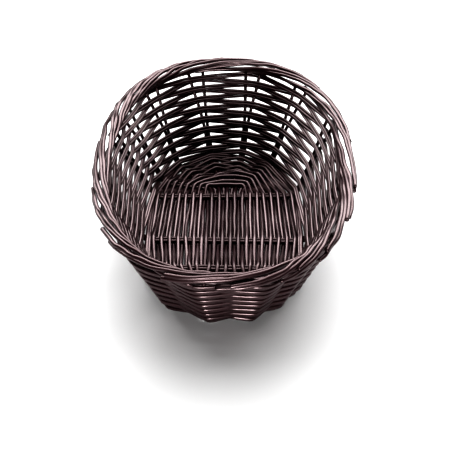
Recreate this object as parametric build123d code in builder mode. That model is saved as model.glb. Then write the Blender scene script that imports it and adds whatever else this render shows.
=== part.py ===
"""Oval woven basket: stakes, floor and wall weavers and a rolled border, every strand its own solid.

Frame: origin on the table under the middle of the basket, X across, Y along, Z up.
"""
from build123d import *
import os
from math import cos, hypot, radians, sin, tan

os.makedirs("parts", exist_ok=True)

# ---- Driving dimensions, millimetres ----
WIDTH = 163.0             # over the border, along X
LENGTH = 239.0            # over the border, along Y
HEIGHT = 68.0
OVAL_POWER = 2.3          # superellipse exponent of every oval
FLOOR_HALF = (50.0, 81.0)  # the oval on which the stakes turn up out of the floor
STAKE_DIA = 2.1
WALL_WEAVER_DIA = 1.55
FLOOR_WEAVER_DIA = 1.75
CLEARANCE = 0.15          # between a weaver and the stake that it passes
FLAT_REACH = 1.4          # a weaver runs straight this far past the outermost rod that it passes
FLOOR_REACH = 0.5         # the same in the floor
BEND_RADIUS = 8.0         # of a weaver, beside a stake
ROPE_HALF = (4.2, 3.5)    # strand centres of the rolled border, across and up
BORDER_PITCH = 76.0       # degrees that a border strand winds from one stake to the next
BORDER_WIND = 290.0       # degrees that a border strand winds in all
BORDER_LEAD = 1.22        # half the distance between the two strands of a group

# Stakes stand in side-by-side pairs.  Each has a bearing on the floor oval and one at the rim.
STAKE_BEARINGS = [
    (354, 356), (24, 21), (56, 48), (80, 78), (100, 105), (127, 133), (145, 154), (158, 169),
    (186, 188), (205, 207), (238, 232), (264, 261), (285, 287), (302, 305), (317, 321), (335, 340),
]
CROSS_PAIRS = [(7, 1), (8, 0), (9, 15)]                       # left end, right end
LONG_PAIRS = [(6, 10), (5, 11), (4, 12), (3, 13), (2, 14)]    # far end, near end
FANS = [tuple(pair[end] for pair in LONG_PAIRS) for end in (0, 1)]
LONG_SPACING = 5.3        # between the lengthwise pairs where they lie side by side
FAN_START = 9.5           # the lengthwise pairs fan out this far beyond the end cross stakes
FAN_SPREAD = 1.15         # their spacing has grown by this factor there
FAN_FIRST = 0.11          # the smallest row crosses them this far along to the floor's edge

FLOOR_ROWS = 14
ONE_GROUP_ROWS = 5        # the smallest rows pass each fan as one group of stakes
THREE_GROUP_ROWS = 7      # the next ones, up to this row, as three groups
WALL_ROWS = 15
INNER_ROW_HALF = 14.9     # half width of the smallest floor row
FLOOR_EDGE_GAP = 1.7      # from the largest floor row to the turn of the stakes
TURN_RISE = 4.8           # height of the slanted turn between floor and wall
TURN_OUT = 5.8            # how far the turn carries a stake outwards
TURN_ROWS = 2
TURN_ROW_PITCH = 3.5
FIRST_WALL_ROW = 10.1
WALL_ROW_PITCH = 3.33
MERGE_HEIGHT = 27.0       # below this the two rods of a pair touch, above it they part
TOP_SPREAD = 5.8          # half the distance between the two rods at the border

# ---- Derived dimensions ----
STAKE_R = STAKE_DIA / 2
FLOOR_OFFSET = STAKE_R + FLOOR_WEAVER_DIA / 2 + CLEARANCE
LONG_OFFSET = STAKE_DIA + CLEARANCE
FLOOR_Z = LONG_OFFSET + STAKE_R
TURN_Z = FLOOR_Z + TURN_RISE
ROPE_CENTRE_Z = HEIGHT - ROPE_HALF[1] - STAKE_R
RIM_HALF = (WIDTH / 2 - ROPE_HALF[0] - STAKE_R, LENGTH / 2 - ROPE_HALF[0] - STAKE_R)
STAKE_TOP = ROPE_CENTRE_Z - ROPE_HALF[1] - STAKE_R - CLEARANCE
PAIR_HALF = STAKE_R + CLEARANCE / 2
WALL_LEAN = 1.15          # a leaning round rod is this much deeper in a level cut
WALL_OFFSET = STAKE_R * WALL_LEAN + WALL_WEAVER_DIA / 2 + CLEARANCE
STACK_HALF = WALL_ROW_PITCH / 4
N = len(STAKE_BEARINGS)


# ---- Geometry helpers ----
def lerp(a, b, u):
    return a + (b - a) * u


def oval_point(bearing, half, z):
    """Point of a superellipse; the bearing is the parameter angle in degrees."""
    c = cos(radians(bearing))
    s = sin(radians(bearing))
    x = half[0] * abs(c) ** (2 / OVAL_POWER) * (1 if c > 0 else -1)
    y = half[1] * abs(s) ** (2 / OVAL_POWER) * (1 if s > 0 else -1)
    return Vector(x, y, z)


def oval_tangent(bearing, half):
    step = 0.5
    return (oval_point(bearing + step, half, 0) - oval_point(bearing - step, half, 0)).normalized()


def wall_half(z):
    """Half axes of the wall's middle surface at a height."""
    foot = [h + TURN_OUT for h in FLOOR_HALF]
    u = (z - TURN_Z) / (ROPE_CENTRE_Z - TURN_Z)
    return [lerp(foot[0], RIM_HALF[0], u), lerp(foot[1], RIM_HALF[1], u)]


def stake_tangent(i):
    low, top = STAKE_BEARINGS[i]
    return oval_tangent((low + top) / 2, RIM_HALF)


def outward(tangent):
    return Vector(tangent.Y, -tangent.X, 0)


def floor_edge(i):
    return oval_point(STAKE_BEARINGS[i][0], FLOOR_HALF, FLOOR_Z)


def wall_knots(i):
    """The four points of a stake pair's middle line from the floor's edge to the border."""
    low, top = STAKE_BEARINGS[i]
    knots = [floor_edge(i)]
    for z in (TURN_Z, MERGE_HEIGHT, STAKE_TOP):
        u = (z - TURN_Z) / (STAKE_TOP - TURN_Z)
        knots.append(oval_point(lerp(low, top, u), wall_half(z), z))
    return knots


def wall_point(i, z):
    """Middle of stake pair i at a height, and half the distance between its rods there."""
    _, foot, merge, top = wall_knots(i)
    if z <= MERGE_HEIGHT:
        u = (z - TURN_Z) / (MERGE_HEIGHT - TURN_Z)
        return foot + (merge - foot) * u, PAIR_HALF
    u = (z - MERGE_HEIGHT) / (STAKE_TOP - MERGE_HEIGHT)
    return merge + (top - merge) * u, lerp(PAIR_HALF, TOP_SPREAD, u)


def corner_turn(points, k):
    """Degrees by which a path turns at point k, and its shorter run there."""
    before = points[k] - points[k - 1]
    after = points[(k + 1) % len(points)] - points[k]
    return before.get_angle(after), min(before.length, after.length)


def add_rod(points, diameter, largest=BEND_RADIUS):
    """Add one round strand, along straight runs joined by tangent arcs, to the part in hand."""
    straight = 1.2
    kept = [points[0]]
    for k in range(1, len(points) - 1):
        if corner_turn([kept[-1], points[k], points[k + 1]], 1)[0] > straight:
            kept.append(points[k])
    kept.append(points[-1])
    radii = []
    for k in range(1, len(kept) - 1):
        turn, run = corner_turn(kept, k)
        radii.append(min(largest, 0.45 * run / tan(radians(turn) / 2)))
    with BuildLine() as path:
        FilletPolyline(*kept, radius=radii)
    with BuildSketch(Plane(origin=path.line @ 0, z_dir=path.line % 0)) as section:
        Circle(diameter / 2)
    sweep(sections=section.sketch, path=path.line)


def add_ring(corners, diameter):
    """Add a closed strand: two halves that meet face to face in the middle of straight runs."""
    half = len(corners) // 2
    start = (corners[-1] + corners[0]) * 0.5
    middle = (corners[half - 1] + corners[half]) * 0.5
    add_rod([start] + corners[:half] + [middle], diameter)
    add_rod([middle] + corners[half:] + [start], diameter)


def side_of(stake, row):
    """+1 where a row passes outside or under a stake, -1 where it passes inside or over it."""
    return 1 if (stake + row) % 2 else -1


def floor_side(stake, row):
    """Side on which a floor row passes a stake: the smallest rows pass several stakes at once."""
    for fan in FANS:
        middle = fan[len(fan) // 2]
        if stake in fan and row < ONE_GROUP_ROWS:
            return side_of(middle, row)
        if stake in fan and row < THREE_GROUP_ROWS:
            return side_of(fan[0], row) * (-1 if stake == middle else 1)
    return side_of(stake, row)


# ---- Floor layout ----
def long_x(j):
    return (j - (len(LONG_PAIRS) - 1) / 2) * LONG_SPACING


def fan_start(j, end):
    """Where lengthwise pair j leaves the middle bundle, at its far (0) or near (1) end."""
    left, right = CROSS_PAIRS[0] if end == 0 else CROSS_PAIRS[-1]
    y = (floor_edge(left).Y + floor_edge(right).Y) / 2
    step = FAN_START if end == 0 else -FAN_START
    return Vector(long_x(j) * FAN_SPREAD, y + step, FLOOR_Z)


def cross_line_point(left, right, x):
    a = floor_edge(left)
    b = floor_edge(right)
    return a + (b - a) * ((x - a.X) / (b.X - a.X))


def floor_ends(i):
    """Smallest-row and largest-row crossing of stake pair i, along its own line in the floor."""
    edge = floor_edge(i)
    for left, right in CROSS_PAIRS:
        if i in (left, right):
            x = -INNER_ROW_HALF if i == left else INNER_ROW_HALF
            inner = cross_line_point(left, right, x)
    for j, pair in enumerate(LONG_PAIRS):
        if i in pair:
            inner = lerp(fan_start(j, pair.index(i)), edge, FAN_FIRST)
    return inner, edge - (edge - inner).normalized() * FLOOR_EDGE_GAP


def pair_offsets(points, halves):
    """Both rods of a pair: the middle line moved sideways in the floor plane, mitred at corners."""
    rods = [[], []]
    for k, point in enumerate(points):
        before = (points[k] - points[k - 1]) if k else (points[1] - points[0])
        after = (points[k + 1] - points[k]) if k + 1 < len(points) else before
        before = Vector(before.X, before.Y, 0).normalized()
        after = Vector(after.X, after.Y, 0).normalized()
        across = (Vector(-before.Y, before.X, 0) + Vector(-after.Y, after.X, 0)).normalized()
        across = across * (halves[k] / across.dot(Vector(-before.Y, before.X, 0)))
        rods[0].append(point + across)
        rods[1].append(point - across)
    return rods


def wall_rods(i, sign):
    """One rod of stake pair i from the turn to the border; sign picks the rod."""
    tangent = stake_tangent(i)
    points = []
    for z in (TURN_Z, MERGE_HEIGHT, STAKE_TOP):
        middle, half = wall_point(i, z)
        points.append(middle + tangent * (half * sign))
    return points


def stake_pair_paths(first, last, floor_points, halves):
    """Both complete rods of a pair that stands up at stake places first and last.

    Where the first rod lies above the floor's level, the second lies below it by as much.
    """
    middle = [floor_edge(first)] + floor_points + [floor_edge(last)]
    left, right = pair_offsets(middle, [PAIR_HALF] + halves + [PAIR_HALF])
    right = [Vector(point.X, point.Y, 2 * FLOOR_Z - point.Z) for point in right]
    paths = []
    for rod in (left, right):
        ends = []
        for place, edge in ((first, rod[0]), (last, rod[-1])):
            sign = 1 if (edge - floor_edge(place)).dot(stake_tangent(place)) > 0 else -1
            ends.append(wall_rods(place, sign))
        paths.append(list(reversed(ends[0])) + rod + ends[1])
    return paths


def export(builder, name):
    builder.part.label = name
    export_step(builder.part, f"parts/{name}.step")


# ---- Cross stakes: three pairs that lie across the floor and stand up at the long sides ----
for number, (left, right) in enumerate(CROSS_PAIRS, 1):
    with BuildPart() as cross_stakes:
        for rod_path in stake_pair_paths(left, right, [], []):
            add_rod(rod_path, STAKE_DIA, largest=6.0)
    export(cross_stakes, f"cross_stakes_{number:02d}")

# ---- Lengthwise stakes: rods woven over and under the cross stakes, fanned out as pairs ----
for number, (far, near) in enumerate(LONG_PAIRS, 1):
    j = number - 1
    route = [fan_start(j, 0)]
    halves = [PAIR_HALF]
    for c, (left, right) in enumerate(CROSS_PAIRS):
        crossing = cross_line_point(left, right, long_x(j))
        rise = -LONG_OFFSET if c % 2 else LONG_OFFSET
        for step in (2 * PAIR_HALF, -2 * PAIR_HALF):
            route.append(crossing + Vector(0, step, rise))
            halves.append(LONG_SPACING / 4)
    route.append(fan_start(j, 1))
    halves.append(PAIR_HALF)
    with BuildPart() as long_stakes:
        for rod_path in stake_pair_paths(far, near, route, halves):
            add_rod(rod_path, STAKE_DIA, largest=6.0)
    export(long_stakes, f"long_stakes_{number:02d}")

# ---- Floor weavers: one strand a row, over and under the stakes ----
for row in range(FLOOR_ROWS):
    u = row / (FLOOR_ROWS - 1)
    middles = []
    for i in range(N):
        inner, outer = floor_ends(i)
        middles.append(inner + (outer - inner) * u)
    corners = []
    for i in range(N):
        along = (middles[(i + 1) % N] - middles[i - 1]).normalized()
        rise = Vector(0, 0, -floor_side(i, row) * FLOOR_OFFSET)
        for step in (-PAIR_HALF - FLOOR_REACH, PAIR_HALF + FLOOR_REACH):
            corners.append(middles[i] + along * step + rise)
    with BuildPart() as floor_row:
        add_ring(corners, FLOOR_WEAVER_DIA)
    export(floor_row, f"floor_row_{row + 1:02d}")

# ---- Turn rows: double strands on the slanted turn from the floor to the wall ----
for level in range(TURN_ROWS):
    row = FLOOR_ROWS + level
    with BuildPart() as turn_row:
        for stack in (-STACK_HALF, STACK_HALF):
            rise = (level - (TURN_ROWS - 1) / 2) * TURN_ROW_PITCH + stack
            corners = []
            for i in range(N):
                edge, foot = wall_knots(i)[:2]
                up = (foot - edge).normalized()
                tangent = stake_tangent(i)
                out = tangent.cross(up).normalized()
                shift = out.cross(tangent) * rise + out * (side_of(i, row) * WALL_OFFSET)
                middle = (edge + foot) * 0.5 + shift
                for step in (-PAIR_HALF - FLAT_REACH / 2, PAIR_HALF + FLAT_REACH / 2):
                    corners.append(middle + tangent * step)
            add_ring(corners, WALL_WEAVER_DIA)
    export(turn_row, f"wall_row_{level + 1:02d}")

# ---- Wall weavers: two stacked strands a row, in and out of the stakes ----
for level in range(WALL_ROWS):
    row = FLOOR_ROWS + TURN_ROWS + level
    with BuildPart() as wall_row:
        for stack in (-STACK_HALF, STACK_HALF):
            z = FIRST_WALL_ROW + level * WALL_ROW_PITCH + stack
            corners = []
            for i in range(N):
                middle, half = wall_point(i, z)
                tangent = stake_tangent(i)
                out = outward(tangent) * (side_of(i, row) * WALL_OFFSET)
                for sign in (-1, 1):
                    corners.append(middle + out + tangent * (sign * (half + FLAT_REACH)))
            add_ring(corners, WALL_WEAVER_DIA)
    export(wall_row, f"wall_row_{TURN_ROWS + level + 1:02d}")


# ---- Rolled border: the stakes' ends, wound inside, over the top and down outside ----
def bearing_at(place):
    """Rim bearing at a place counted in stakes; whole numbers are the stakes themselves."""
    low = int(place // 1)
    a = STAKE_BEARINGS[low % N][1]
    b = STAKE_BEARINGS[(low + 1) % N][1]
    if b < a:
        b += 360
    return lerp(a, b, place - low)


def rope_point(place, wind, lead):
    """A strand centre of the border, wound from under it, inside, over the top and down outside."""
    angle = radians(-90 - wind)
    angle += lead / hypot(ROPE_HALF[0] * sin(angle), ROPE_HALF[1] * cos(angle))
    bearing = bearing_at(place)
    centre = oval_point(bearing, RIM_HALF, ROPE_CENTRE_Z)
    out = outward(oval_tangent(bearing, RIM_HALF))
    return centre + out * (ROPE_HALF[0] * cos(angle)) + Vector(0, 0, ROPE_HALF[1] * sin(angle))


BORDER_STEPS = 14
BORDER_BEND = 25.0        # largest radius of a border strand's bends
for i in range(N):
    with BuildPart() as border_strand:
        for lead in (-BORDER_LEAD, BORDER_LEAD):
            points = []
            for k in range(BORDER_STEPS + 1):
                wind = BORDER_WIND * k / BORDER_STEPS
                points.append(rope_point(i - wind / BORDER_PITCH, wind, lead))
            add_rod(points, STAKE_DIA, largest=BORDER_BEND)
    export(border_strand, f"border_strand_{i + 1:02d}")
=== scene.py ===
"""Looks of the oval woven basket: each strand is a round tube, bent by hand as a weaver would bend it.

The weave's layout is the frame's: rows stand at the heights of their CAD nodes, and the stakes at
the bearings below.  Lengths are millimetres until a mesh is made.
"""

import math

import bpy
import numpy as np
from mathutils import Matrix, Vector


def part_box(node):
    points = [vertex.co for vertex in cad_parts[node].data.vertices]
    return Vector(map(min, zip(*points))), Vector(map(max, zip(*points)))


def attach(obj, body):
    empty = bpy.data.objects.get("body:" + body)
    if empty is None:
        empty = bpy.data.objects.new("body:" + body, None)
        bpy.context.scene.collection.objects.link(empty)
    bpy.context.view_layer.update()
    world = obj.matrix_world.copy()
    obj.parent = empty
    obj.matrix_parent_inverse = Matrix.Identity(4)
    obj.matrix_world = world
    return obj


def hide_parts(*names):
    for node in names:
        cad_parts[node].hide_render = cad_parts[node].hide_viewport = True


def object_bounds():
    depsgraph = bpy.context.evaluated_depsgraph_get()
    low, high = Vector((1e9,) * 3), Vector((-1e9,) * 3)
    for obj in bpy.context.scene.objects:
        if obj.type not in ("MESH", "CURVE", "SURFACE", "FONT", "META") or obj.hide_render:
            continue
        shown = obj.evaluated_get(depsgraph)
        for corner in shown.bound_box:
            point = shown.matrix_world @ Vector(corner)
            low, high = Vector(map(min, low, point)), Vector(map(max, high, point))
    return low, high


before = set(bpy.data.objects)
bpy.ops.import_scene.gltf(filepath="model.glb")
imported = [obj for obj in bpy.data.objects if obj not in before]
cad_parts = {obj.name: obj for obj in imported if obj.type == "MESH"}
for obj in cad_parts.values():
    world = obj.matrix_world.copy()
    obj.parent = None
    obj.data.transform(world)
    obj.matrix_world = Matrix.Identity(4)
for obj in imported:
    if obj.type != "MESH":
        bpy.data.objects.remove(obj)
cad_low, cad_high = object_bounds()

MM = 0.001
SEED = 7
rng = np.random.default_rng(SEED)

# ---- Layout of the weave ----
WIDTH, LENGTH, HEIGHT = (cad_high - cad_low) / MM
OVAL_POWER = 2.3
# Bearing of each stake pair at the floor's edge and at the rim, in degrees, counter-clockwise from +X.
STAKE_BEARINGS = [
    (354, 356), (24, 21), (56, 48), (80, 78), (100, 105), (127, 133), (145, 154), (158, 169),
    (186, 188), (205, 207), (238, 232), (264, 261), (285, 287), (302, 305), (317, 321), (335, 340),
]
# The two places in STAKE_BEARINGS that each pair of rods joins across the floor.
CROSS_PAIRS = [(7, 1), (8, 0), (9, 15)]
LONG_PAIRS = [(6, 10), (5, 11), (4, 12), (3, 13), (2, 14)]
N = len(STAKE_BEARINGS)
FANS = [tuple(pair[end] for pair in LONG_PAIRS) for end in (0, 1)]
FLOOR_ROWS = 14
# The innermost rows pass a fan's stakes as one group, and the next ones as three groups.
ONE_GROUP_ROWS = 5
THREE_GROUP_ROWS = 7
TURN_ROWS = 2
WALL_ROWS = 15

# ---- Strand radii ----
SIDES = 10
STAKE_R = 1.18
PAIR_HALF = STAKE_R + 0.02
# The height over which a rod thins from a floor weaver's thickness to its own.
STAKE_TAPER = 12.0
FLOOR_WEAVER_R = 1.34
LOW_WEAVER_R = 1.14
WALL_WEAVER_R = 0.95
WALL_SWELL_ROWS = 9
# Wall strands are thicker by this share in the near half.
NEAR_SWELL = 0.34
NEAR_START = 0.35
BORDER_R = 1.26
BORDER_R_RANGE = (0.88, 1.12)

# ---- Floor ----
FLOOR_HALF = np.array((50.0, 81.0))
FLOOR_Z = 3.3
FLOOR_OFFSET = FLOOR_Z - FLOOR_WEAVER_R
LONG_SPACING = 5.3
FAN_START = 9.5
FAN_SPREAD = 1.15
FAN_FIRST = 0.03
INNER_ROW_HALF = 14.8
FLOOR_EDGE_GAP = 0.4

# ---- Turn from floor to wall, and wall ----
TURN_RISE = 4.8
TURN_OUT = 5.8
TURN_Z = FLOOR_Z + TURN_RISE
TURN_ROW_PITCH = 3.5
STACK_HALF = 0.82
WALL_OFFSET = STAKE_R * 1.1 + WALL_WEAVER_R
MERGE_HEIGHT = 27.0
TOP_SPREAD = 5.8
# Half the straight stretch of a weaver where it passes a stake pair.
PASS_HALF = 1.2 * PAIR_HALF
WALL_PASS_EXTRA = 0.3 * PAIR_HALF

# ---- Rolled border ----
ROPE_HALF = np.array((4.2, 3.5))
# Half the distance between a border group's two strands.
BORDER_LEAD = 0.95
# Degrees wound round the rope from one stake place to the next, and in all.
BORDER_PITCH = 76.0
BORDER_WIND = 262.0
BORDER_WIND_SPREAD = 18
BORDER_SLIP = 0.8
BORDER_POINTS = 40
# Shortest and longest straight tail of a border strand.
TAIL = (2.0, 5.0)
TAIL_START = 1.0
TAIL_POINTS = 4
ROPE_CENTRE_Z = HEIGHT - ROPE_HALF[1] - BORDER_R
RIM_HALF = np.array((WIDTH, LENGTH)) / 2 - ROPE_HALF[0] - BORDER_R

# ---- How far before a corner a strand starts to bend, and how much it sways ----
STAKE_BEND = 5.0
FLOOR_BEND = 14.0
TURN_BEND = 7.0
WALL_BEND = 8.0
STAKE_SWAY = 0.08
FLOOR_SWAY = 0.20
TURN_SWAY = 0.06
WALL_SWAY = 0.05
BORDER_SWAY = 0.16
SWAY_PARTS = 3
SWAY_WAVE = 18.0
SWAY_STRETCH = (1, 3)
FLOOR_WAVE = 30.0
BORDER_WAVE = 12.0
SWAY_FADE = 6.0
ROW_DROP = 0.10


# ---- Vector helpers ----
def unit(v):
    return v / np.linalg.norm(v)


def lerp(a, b, u):
    return a + (b - a) * u


def vec(x, y, z=0.0):
    return np.array((x, y, z), float)


# ---- The basket's surfaces ----
def oval_point(bearing, half, z):
    c = math.cos(math.radians(bearing))
    s = math.sin(math.radians(bearing))
    x = half[0] * abs(c) ** (2 / OVAL_POWER) * math.copysign(1, c)
    y = half[1] * abs(s) ** (2 / OVAL_POWER) * math.copysign(1, s)
    return vec(x, y, z)


def oval_tangent(bearing, half):
    return unit(oval_point(bearing + 0.5, half, 0) - oval_point(bearing - 0.5, half, 0))


def outward(tangent):
    return vec(tangent[1], -tangent[0])


def wall_half(z):
    return lerp(FLOOR_HALF + TURN_OUT, RIM_HALF, (z - TURN_Z) / (ROPE_CENTRE_Z - TURN_Z))


def stake_tangent(i):
    return oval_tangent(sum(STAKE_BEARINGS[i]) / 2, RIM_HALF)


def floor_edge(i):
    return oval_point(STAKE_BEARINGS[i][0], FLOOR_HALF, FLOOR_Z)


def wall_knot(i, z):
    low, top = STAKE_BEARINGS[i]
    return oval_point(lerp(low, top, (z - TURN_Z) / (ROPE_CENTRE_Z - TURN_Z)), wall_half(z), z)


def wall_point(i, z):
    """Middle of a stake pair at a height, and half the distance between its rods there."""
    merge = wall_knot(i, MERGE_HEIGHT)
    if z <= MERGE_HEIGHT:
        return lerp(wall_knot(i, TURN_Z), merge, (z - TURN_Z) / (MERGE_HEIGHT - TURN_Z)), PAIR_HALF
    u = (z - MERGE_HEIGHT) / (ROPE_CENTRE_Z - MERGE_HEIGHT)
    return lerp(merge, wall_knot(i, ROPE_CENTRE_Z), u), lerp(PAIR_HALF, TOP_SPREAD, u)


def side_of(stake, row):
    """+1 where a row passes outside or under a stake, -1 inside or over it."""
    return 1 if (stake + row) % 2 else -1


def floor_side(stake, row):
    """The same in the floor, where the smallest rows pass several stakes as one."""
    for fan in FANS:
        middle = fan[len(fan) // 2]
        if stake in fan and row < ONE_GROUP_ROWS:
            return side_of(middle, row)
        if stake in fan and row < THREE_GROUP_ROWS:
            return side_of(fan[0], row) * (-1 if stake == middle else 1)
    return side_of(stake, row)


# ---- Strand paths and tubes ----
PATH_STEP = 2.5
CORNER_POINTS = 6
CORNER_SHARE = 0.48
SHORTEST_STEP = 0.05
START_NORMAL = vec(0.11, 0.07, 1.0)
UV_SHIFT = 1000


def corner_curve(before, here, after, reach):
    """Points of the curve that rounds one corner, from `reach` before it to `reach` after it."""
    back = before - here
    ahead = after - here
    a = here + unit(back) * min(reach, CORNER_SHARE * np.linalg.norm(back))
    b = here + unit(ahead) * min(reach, CORNER_SHARE * np.linalg.norm(ahead))
    return [lerp(lerp(a, here, u), lerp(here, b, u), u) for u in np.linspace(0, 1, CORNER_POINTS)]


def rounded(corners, closed, reach):
    """A smooth path along corner points, with its straight stretches cut into even steps."""
    corners = [np.asarray(c, float) for c in corners]
    count = len(corners)
    path = []
    for k in range(count):
        if not closed and k in (0, count - 1):
            path.append(corners[k])
        else:
            path += corner_curve(corners[k - 1], corners[k], corners[(k + 1) % count], reach)
    if closed:
        path.append(path[0])
    even = [path[0]]
    for point in path[1:]:
        start = even[-1]
        pieces = max(1, int(round(np.linalg.norm(point - start) / PATH_STEP)))
        even += [lerp(start, point, p / pieces) for p in range(1, pieces + 1)]
    path = np.array(even[:-1] if closed else even)
    keep = np.linalg.norm(path - np.roll(path, 1, 0), axis=1) > SHORTEST_STEP
    return path[keep]


def distances(path):
    """How far along a path each of its points is."""
    return np.r_[0, np.cumsum(np.linalg.norm(np.diff(path, axis=0), axis=1))]


def wander(path, closed, size, wave=SWAY_WAVE):
    """Add a slow random sway to a path, as a hand-laid strand has."""
    length = distances(path)
    total = length[-1]
    sway = np.zeros_like(path)
    for _ in range(SWAY_PARTS):
        turns = max(1, round(total / (wave * rng.uniform(*SWAY_STRETCH))))
        phase = rng.uniform(0, 2 * math.pi, 3)
        grow = rng.normal(0, size, 3)
        sway += np.sin(2 * math.pi * turns * length[:, None] / total + phase) * grow
    if not closed:
        sway *= np.clip(np.minimum(length, total - length) / SWAY_FADE, 0, 1)[:, None]
    return path + sway


def cross_directions(path, closed):
    """Two directions across a path at each point, which turn with it and don't twist.

    What twist a closed path has left over when it meets its start is spread along it.
    """
    ahead = np.roll(path, -1, 0) - path if closed else np.gradient(path, axis=0)
    behind = path - np.roll(path, 1, 0) if closed else ahead
    tangents = ahead / np.linalg.norm(ahead, axis=1)[:, None]
    tangents = tangents + behind / np.linalg.norm(behind, axis=1)[:, None]
    tangents /= np.linalg.norm(tangents, axis=1)[:, None]
    normal = START_NORMAL
    normals = np.zeros_like(path)
    for k, tangent in enumerate(tangents):
        normal = unit(normal - tangent * normal.dot(tangent))
        normals[k] = normal
    if closed:
        last = normals[-1] - tangents[0] * normals[-1].dot(tangents[0])
        sine = np.cross(last, normals[0]).dot(tangents[0])
        twist = math.atan2(sine, last.dot(normals[0]))
        angles = twist * np.arange(len(path)) / len(path)
        binormals = np.cross(tangents, normals)
        normals = normals * np.cos(angles)[:, None] + binormals * np.sin(angles)[:, None]
    return normals, np.cross(tangents, normals)


def tube(verts, faces, uvs, path, radius, closed):
    """Append one strand to a mesh under construction, with UVs along (u, millimetres) and round it (v)."""
    count = len(path)
    normals, binormals = cross_directions(path, closed)
    base = len(verts)
    around = 2 * math.pi * np.arange(SIDES) / SIDES
    radii = np.broadcast_to(radius, count)
    for k in range(count):
        for a in around:
            rim = normals[k] * math.cos(a) + binormals[k] * math.sin(a)
            verts.append((path[k] + rim * radii[k]) * MM)
    along = distances(path)
    offset = rng.uniform(0, UV_SHIFT)
    for k in range(count if closed else count - 1):
        following = (k + 1) % count
        u0 = along[k] + offset
        u1 = u0 + np.linalg.norm(path[following] - path[k])
        for s in range(SIDES):
            t = (s + 1) % SIDES
            faces.append((base + k * SIDES + s, base + k * SIDES + t,
                          base + following * SIDES + t, base + following * SIDES + s))
            v0 = s / SIDES
            v1 = (s + 1) / SIDES
            uvs.append(((u0, v0), (u0, v1), (u1, v1), (u1, v0)))
    if not closed:
        for k, flip in ((0, True), (count - 1, False)):
            ring = [base + k * SIDES + s for s in range(SIDES)]
            faces.append(tuple(reversed(ring)) if flip else tuple(ring))
            uvs.append(tuple((offset, 0.5) for _ in ring))


class Strands:
    """Collects the strands of one piece."""

    def __init__(self):
        self.verts = []
        self.faces = []
        self.uvs = []
        self.tints = []

    def add(self, path, radius, closed=False):
        start = len(self.verts)
        tube(self.verts, self.faces, self.uvs, path, radius, closed)
        self.tints += [rng.uniform()] * (len(self.verts) - start)

    def make(self, name, node, material):
        mesh = bpy.data.meshes.new(name)
        mesh.from_pydata([tuple(v) for v in self.verts], [], self.faces)
        layer = mesh.uv_layers.new(name="strand")
        flat = [c for face in self.uvs for corner in face for c in corner]
        layer.data.foreach_set("uv", flat)
        tint = mesh.attributes.new("tint", "FLOAT", "POINT")
        tint.data.foreach_set("value", self.tints)
        mesh.shade_smooth()
        mesh.materials.append(material)
        mesh.validate()
        piece = bpy.data.objects.new(name, mesh)
        bpy.context.scene.collection.objects.link(piece)
        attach(piece, "root")
        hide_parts(node)


# ---- Material: glossy extruded strand, near-black brown ----
DARK = (0.006, 0.0010, 0.0016)
LIGHT = (0.022, 0.008, 0.010)
GLINT = (1.0, 0.79, 0.80, 1)
PLASTIC_IOR = 1.5
ROUGHNESS_RANGE = (-0.07, 0.09)
GRAIN_STRETCH = (0.05, 9.0, 1.0)
GRAIN_SCALE = 1.6
GRAIN_DETAIL = 3.0
GRAIN_STRENGTH = 0.12
GRAIN_DEPTH = 0.00015
BLOTCH_SCALE = 160.0
BLOTCH_DETAIL = 2.0
TINT_SHARE = 0.45
BLOTCH_SHARE = 0.6


def noise(tree, scale, detail, place):
    texture = tree.nodes.new("ShaderNodeTexNoise")
    texture.inputs["Scale"].default_value = scale
    texture.inputs["Detail"].default_value = detail
    tree.links.new(place, texture.inputs["Vector"])
    return texture.outputs["Fac"]


def multiply_add(tree, value, factor):
    """A math node that gives value times factor, plus whatever is linked to its last input."""
    math_node = tree.nodes.new("ShaderNodeMath")
    math_node.operation = "MULTIPLY_ADD"
    math_node.inputs[1].default_value = factor
    math_node.inputs[2].default_value = 0.0
    tree.links.new(value, math_node.inputs[0])
    return math_node


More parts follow.
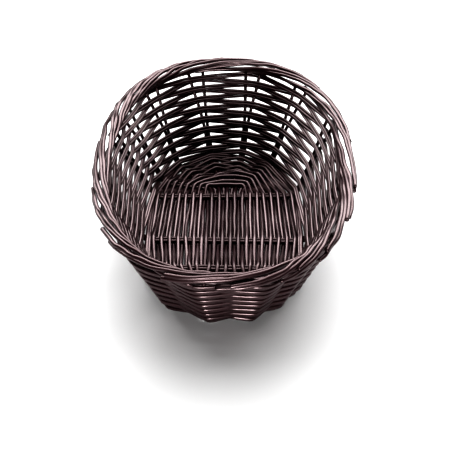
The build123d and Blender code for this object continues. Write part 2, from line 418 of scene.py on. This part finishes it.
def strand_material(name, roughness, shine):
    """Each strand has its own tint, with soft blotches and a fine grain along it."""
    material = bpy.data.materials.new(name)
    material.use_nodes = True
    tree = material.node_tree
    nodes = tree.nodes
    links = tree.links
    shader = nodes["Principled BSDF"]
    shader.inputs["IOR"].default_value = PLASTIC_IOR
    shader.inputs["Specular IOR Level"].default_value = shine
    shader.inputs["Specular Tint"].default_value = GLINT

    uv = nodes.new("ShaderNodeUVMap")
    uv.uv_map = "strand"
    stretch = nodes.new("ShaderNodeMapping")
    stretch.inputs["Scale"].default_value = GRAIN_STRETCH
    links.new(uv.outputs["UV"], stretch.inputs["Vector"])
    grain = noise(tree, GRAIN_SCALE, GRAIN_DETAIL, stretch.outputs["Vector"])

    place = nodes.new("ShaderNodeTexCoord")
    patches = noise(tree, BLOTCH_SCALE, BLOTCH_DETAIL, place.outputs["Object"])
    blotch = multiply_add(tree, patches, BLOTCH_SHARE)
    tint = nodes.new("ShaderNodeAttribute")
    tint.attribute_name = "tint"
    mix = multiply_add(tree, tint.outputs["Fac"], TINT_SHARE)
    links.new(blotch.outputs["Value"], mix.inputs[2])
    ramp = nodes.new("ShaderNodeValToRGB")
    ramp.color_ramp.elements[0].color = (*DARK, 1)
    ramp.color_ramp.elements[1].color = (*LIGHT, 1)
    links.new(mix.outputs["Value"], ramp.inputs["Fac"])
    links.new(ramp.outputs["Color"], shader.inputs["Base Color"])

    rough = nodes.new("ShaderNodeMapRange")
    rough.inputs["To Min"].default_value = roughness + ROUGHNESS_RANGE[0]
    rough.inputs["To Max"].default_value = roughness + ROUGHNESS_RANGE[1]
    links.new(grain, rough.inputs["Value"])
    links.new(rough.outputs["Result"], shader.inputs["Roughness"])
    bump = nodes.new("ShaderNodeBump")
    bump.inputs["Strength"].default_value = GRAIN_STRENGTH
    bump.inputs["Distance"].default_value = GRAIN_DEPTH
    links.new(grain, bump.inputs["Height"])
    links.new(bump.outputs["Normal"], shader.inputs["Normal"])
    return material


stake_plastic = strand_material("stake_plastic", roughness=0.29, shine=0.5)
weaver_plastic = strand_material("weaver_plastic", roughness=0.29, shine=0.85)
border_plastic = strand_material("border_plastic", roughness=0.30, shine=0.8)


# ---- Floor layout ----
def long_x(j):
    return (j - (len(LONG_PAIRS) - 1) / 2) * LONG_SPACING


def fan_start(j, end):
    """Where a lengthwise pair leaves the middle of the floor for the far (0) or near (1) fan."""
    left, right = CROSS_PAIRS[0] if end == 0 else CROSS_PAIRS[-1]
    y = (floor_edge(left)[1] + floor_edge(right)[1]) / 2
    return vec(long_x(j) * FAN_SPREAD, y + (FAN_START if end == 0 else -FAN_START), FLOOR_Z)


def cross_line_point(left, right, x):
    """The point at x on the straight line of a cross pair."""
    a = floor_edge(left)
    b = floor_edge(right)
    return lerp(a, b, (x - a[0]) / (b[0] - a[0]))


def floor_ends(i):
    """Where the first and the last floor row pass a stake."""
    edge = floor_edge(i)
    for left, right in CROSS_PAIRS:
        if i in (left, right):
            inner = cross_line_point(left, right, -INNER_ROW_HALF if i == left else INNER_ROW_HALF)
    for j, pair in enumerate(LONG_PAIRS):
        if i in pair:
            inner = lerp(fan_start(j, pair.index(i)), edge, FAN_FIRST)
    return inner, edge - unit(edge - inner) * FLOOR_EDGE_GAP


def pair_offsets(points, halves):
    """The two rods of a pair, each at its half distance to one side of the middle line."""
    rods = [[], []]
    for k, point in enumerate(points):
        before = points[k] - points[k - 1] if k else points[1] - points[0]
        after = points[k + 1] - points[k] if k + 1 < len(points) else before
        before = unit(before * (1, 1, 0))
        after = unit(after * (1, 1, 0))
        left = vec(-before[1], before[0])
        across = unit(left + vec(-after[1], after[0]))
        across = across * (halves[k] / across.dot(left))
        rods[0].append(point + across)
        rods[1].append(point - across)
    return rods


def stake_paths(first, last, floor_points, halves):
    """Corner points of both rods of a pair, from rim to rim by way of the floor."""
    middle = [floor_edge(first)] + floor_points + [floor_edge(last)]
    paths = []
    left, right = pair_offsets(middle, [PAIR_HALF] + halves + [PAIR_HALF])
    right = [vec(x, y, 2 * FLOOR_Z - z) for x, y, z in right]
    for rod in (left, right):
        ends = []
        for place, edge in ((first, rod[0]), (last, rod[-1])):
            sign = 1 if (edge - floor_edge(place)).dot(stake_tangent(place)) > 0 else -1
            points = []
            for z in (TURN_Z, MERGE_HEIGHT, ROPE_CENTRE_Z - ROPE_HALF[1]):
                centre, half = wall_point(place, z)
                points.append(centre + stake_tangent(place) * half * sign)
            ends.append(points)
        paths.append(ends[0][::-1] + rod + ends[1])
    return paths


def add_stake(strands, corners):
    """A rod, as thick in the floor as the floor's weavers and thinner up the wall."""
    path = wander(rounded(corners, False, STAKE_BEND), False, STAKE_SWAY)
    heights = (TURN_Z, TURN_Z + STAKE_TAPER)
    strands.add(path, np.interp(path[:, 2], heights, (FLOOR_WEAVER_R, STAKE_R)))


def make_stakes():
    for number, (left, right) in enumerate(CROSS_PAIRS, 1):
        strands = Strands()
        for path in stake_paths(left, right, [], []):
            add_stake(strands, path)
        name = f"cross_stakes_{number:02d}"
        strands.make(name + "_rods", name, stake_plastic)
    for number, (far, near) in enumerate(LONG_PAIRS, 1):
        j = number - 1
        route = [fan_start(j, 0)]
        halves = [PAIR_HALF]
        for c, (left, right) in enumerate(CROSS_PAIRS):
            crossing = cross_line_point(left, right, long_x(j))
            rise = -FLOOR_OFFSET if c % 2 else FLOOR_OFFSET
            for step in (2 * PAIR_HALF, -2 * PAIR_HALF):
                route.append(crossing + vec(0, step, rise))
                halves.append(LONG_SPACING / 4)
        route.append(fan_start(j, 1))
        halves.append(PAIR_HALF)
        strands = Strands()
        for path in stake_paths(far, near, route, halves):
            add_stake(strands, path)
        name = f"long_stakes_{number:02d}"
        strands.make(name + "_rods", name, stake_plastic)


# ---- Weavers ----
def make_floor_rows():
    for row in range(FLOOR_ROWS):
        u = row / (FLOOR_ROWS - 1)
        middles = [lerp(*floor_ends(i), u) for i in range(N)]
        corners = []
        for i in range(N):
            along = unit(middles[(i + 1) % N] - middles[i - 1])
            rise = vec(0, 0, -floor_side(i, row) * FLOOR_OFFSET)
            for step in (-PASS_HALF, PASS_HALF):
                corners.append(middles[i] + along * step + rise)
        strands = Strands()
        path = wander(rounded(corners, True, FLOOR_BEND), True, FLOOR_SWAY, FLOOR_WAVE)
        strands.add(path, FLOOR_WEAVER_R, closed=True)
        name = f"floor_row_{row + 1:02d}"
        strands.make(name + "_strand", name, weaver_plastic)


def near_part(path):
    """How near each point of a path is: 0 over the far part of the basket, growing to 1."""
    return np.clip(-path[:, 1] / FLOOR_HALF[1] + NEAR_START, 0, 1)


def make_turn_rows():
    for level in range(TURN_ROWS):
        row = FLOOR_ROWS + level
        strands = Strands()
        for stack in (-STACK_HALF, STACK_HALF):
            rise = (level - (TURN_ROWS - 1) / 2) * TURN_ROW_PITCH + stack
            corners = []
            for i in range(N):
                edge = floor_edge(i)
                foot = wall_knot(i, TURN_Z)
                up = unit(foot - edge)
                tangent = stake_tangent(i)
                out = unit(np.cross(tangent, up)) * side_of(i, row) * WALL_OFFSET
                for step in (-PASS_HALF, PASS_HALF):
                    corners.append((edge + foot) / 2 + up * rise + out + tangent * step)
            path = wander(rounded(corners, True, TURN_BEND), True, TURN_SWAY)
            strands.add(path, LOW_WEAVER_R * (1 + NEAR_SWELL * near_part(path)), closed=True)
        name = f"wall_row_{level + 1:02d}"
        strands.make(name + "_strands", name, weaver_plastic)


def make_wall():
    for level in range(WALL_ROWS):
        row = FLOOR_ROWS + TURN_ROWS + level
        name = f"wall_row_{TURN_ROWS + level + 1:02d}"
        low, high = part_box(name)
        centre = (low.z + high.z) / 2 / MM
        strands = Strands()
        drop = rng.normal(0, ROW_DROP, N)
        radius = lerp(LOW_WEAVER_R, WALL_WEAVER_R, min(1.0, level / WALL_SWELL_ROWS))
        for stack in (-STACK_HALF, STACK_HALF):
            corners = []
            for i in range(N):
                z = centre + stack + drop[i]
                middle, half = wall_point(i, z)
                tangent = stake_tangent(i)
                out = outward(tangent) * side_of(i, row) * WALL_OFFSET
                for sign in (-1, 1):
                    corners.append(middle + out + tangent * sign * (half + WALL_PASS_EXTRA))
            path = wander(rounded(corners, True, WALL_BEND), True, WALL_SWAY)
            strands.add(path, radius * (1 + NEAR_SWELL * near_part(path)), closed=True)
        strands.make(name + "_strands", name, weaver_plastic)


# ---- Rolled border ----
def bearing_at(place):
    """Bearing at the rim of a place between two stakes, given as a number such as 3.5."""
    low = math.floor(place)
    a = STAKE_BEARINGS[low % N][1]
    b = STAKE_BEARINGS[(low + 1) % N][1]
    if b < a:
        b += 360
    return lerp(a, b, place - low)


def rope_point(place, wind, lead):
    """A strand centre of the border, wound from under the rope inside, over the top and outside."""
    angle = math.radians(-90 - wind)
    speed = math.hypot(ROPE_HALF[0] * math.sin(angle), ROPE_HALF[1] * math.cos(angle))
    angle += lead / speed
    bearing = bearing_at(place)
    centre = oval_point(bearing, RIM_HALF, ROPE_CENTRE_Z)
    out = outward(oval_tangent(bearing, RIM_HALF))
    return centre + out * ROPE_HALF[0] * math.cos(angle) + vec(0, 0, ROPE_HALF[1] * math.sin(angle))


def make_border():
    for i in range(N):
        strands = Strands()
        slip = rng.uniform(-BORDER_SLIP, BORDER_SLIP)
        for lead in (-BORDER_LEAD, BORDER_LEAD):
            last_wind = BORDER_WIND + rng.uniform(-BORDER_WIND_SPREAD, BORDER_WIND_SPREAD)
            winds = np.linspace(0, last_wind, BORDER_POINTS)
            path = np.array([rope_point(i - w / BORDER_PITCH, w, lead + slip) for w in winds])
            ahead = unit(path[-1] - path[-2])
            steps = np.linspace(TAIL_START, rng.uniform(*TAIL), TAIL_POINTS)
            tail = path[-1] + ahead * steps[:, None]
            path = np.vstack((path, tail))
            radius = BORDER_R * rng.uniform(*BORDER_R_RANGE)
            strands.add(wander(path, False, BORDER_SWAY, BORDER_WAVE), radius)
        name = f"border_strand_{i + 1:02d}"
        strands.make(name + "_ends", name, border_plastic)


make_stakes()
make_floor_rows()
make_turn_rows()
make_wall()
make_border()


# ---- Stage, light and camera, in metres ----
TABLE_RADIUS = 0.75
TABLE_SIDES = 96
TABLE_GAP = 0.0001
TABLE_GREY = (0.67, 0.67, 0.67, 1)
WHITE = (1, 1, 1, 1)
FILL_LIGHT = 0.035
# Place, width and height, and watts.
SOFTBOXES = {
    "back_softbox": ((0.0, 0.903, 0.935), (3.2, 0.62), 46.0),
    "top_softbox": ((0.0, 0.22, 1.3), (1.4, 1.0), 11.5),
    "front_softbox": ((0.015, -1.0, 0.18), (0.17, 0.15), 7.5),
}
LIGHT_TARGET = (0, 0, 0.03)
CAMERA_DISTANCE = 0.604
CAMERA_HEIGHT_ANGLE = math.radians(40.4)
CAMERA_TURN = math.radians(0.9)
CAMERA_TARGET = (0.0003, 0.0, 0.0071)
# Sensor width and focal length are in millimetres.
SENSOR = 36.0
FOCAL_LENGTH = 72.0


def make_table():
    mesh = bpy.data.meshes.new("table")
    around = [2 * math.pi * k / TABLE_SIDES for k in range(TABLE_SIDES)]
    corners = [(TABLE_RADIUS * math.cos(a), TABLE_RADIUS * math.sin(a), 0) for a in around]
    mesh.from_pydata(corners, [], [tuple(range(TABLE_SIDES))])
    material = bpy.data.materials.new("white_table")
    material.use_nodes = True
    shader = material.node_tree.nodes["Principled BSDF"]
    shader.inputs["Base Color"].default_value = TABLE_GREY
    shader.inputs["Roughness"].default_value = 0.8
    shader.inputs["Specular IOR Level"].default_value = 0.1
    mesh.materials.append(material)
    table = bpy.data.objects.new("table", mesh)
    bpy.context.scene.collection.objects.link(table)
    table.location.z = min(0.0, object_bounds()[0].z) - TABLE_GAP


def aim(thing, place, target):
    thing.location = place
    thing.rotation_euler = (Vector(target) - Vector(place)).to_track_quat("-Z", "Y").to_euler()


def make_softbox(name, place, size, power):
    light = bpy.data.lights.new(name, "AREA")
    light.shape = "RECTANGLE"
    light.size, light.size_y = size
    light.energy = power
    lamp = bpy.data.objects.new(name, light)
    bpy.context.scene.collection.objects.link(lamp)
    aim(lamp, place, LIGHT_TARGET)


def make_world():
    """A weak white fill light, seen by the camera as a plain white background."""
    world = bpy.data.worlds.new("studio")
    world.use_nodes = True
    nodes = world.node_tree.nodes
    links = world.node_tree.links
    fill = nodes["Background"]
    fill.inputs["Color"].default_value = WHITE
    fill.inputs["Strength"].default_value = FILL_LIGHT
    seen = nodes.new("ShaderNodeBackground")
    seen.inputs["Color"].default_value = WHITE
    seen.inputs["Strength"].default_value = 1.0
    ray = nodes.new("ShaderNodeLightPath")
    mix = nodes.new("ShaderNodeMixShader")
    links.new(ray.outputs["Is Camera Ray"], mix.inputs["Fac"])
    links.new(fill.outputs["Background"], mix.inputs[1])
    links.new(seen.outputs["Background"], mix.inputs[2])
    links.new(mix.outputs["Shader"], nodes["World Output"].inputs["Surface"])
    scene = bpy.context.scene
    scene.world = world
    scene.view_settings.view_transform = "Standard"
    scene.view_settings.look = "Very High Contrast"


def make_camera():
    """Looks down on the basket's near end, turned a little to its right."""
    data = bpy.data.cameras.new("camera")
    data.sensor_width = SENSOR
    data.lens = FOCAL_LENGTH
    camera = bpy.data.objects.new("camera", data)
    bpy.context.scene.collection.objects.link(camera)
    reach = CAMERA_DISTANCE * math.cos(CAMERA_HEIGHT_ANGLE)
    rise = CAMERA_DISTANCE * math.sin(CAMERA_HEIGHT_ANGLE)
    place = (reach * math.sin(CAMERA_TURN), -reach * math.cos(CAMERA_TURN), rise)
    aim(camera, place, CAMERA_TARGET)
    bpy.context.scene.camera = camera


make_table()
make_world()
for softbox_name, settings in SOFTBOXES.items():
    make_softbox(softbox_name, *settings)
make_camera()
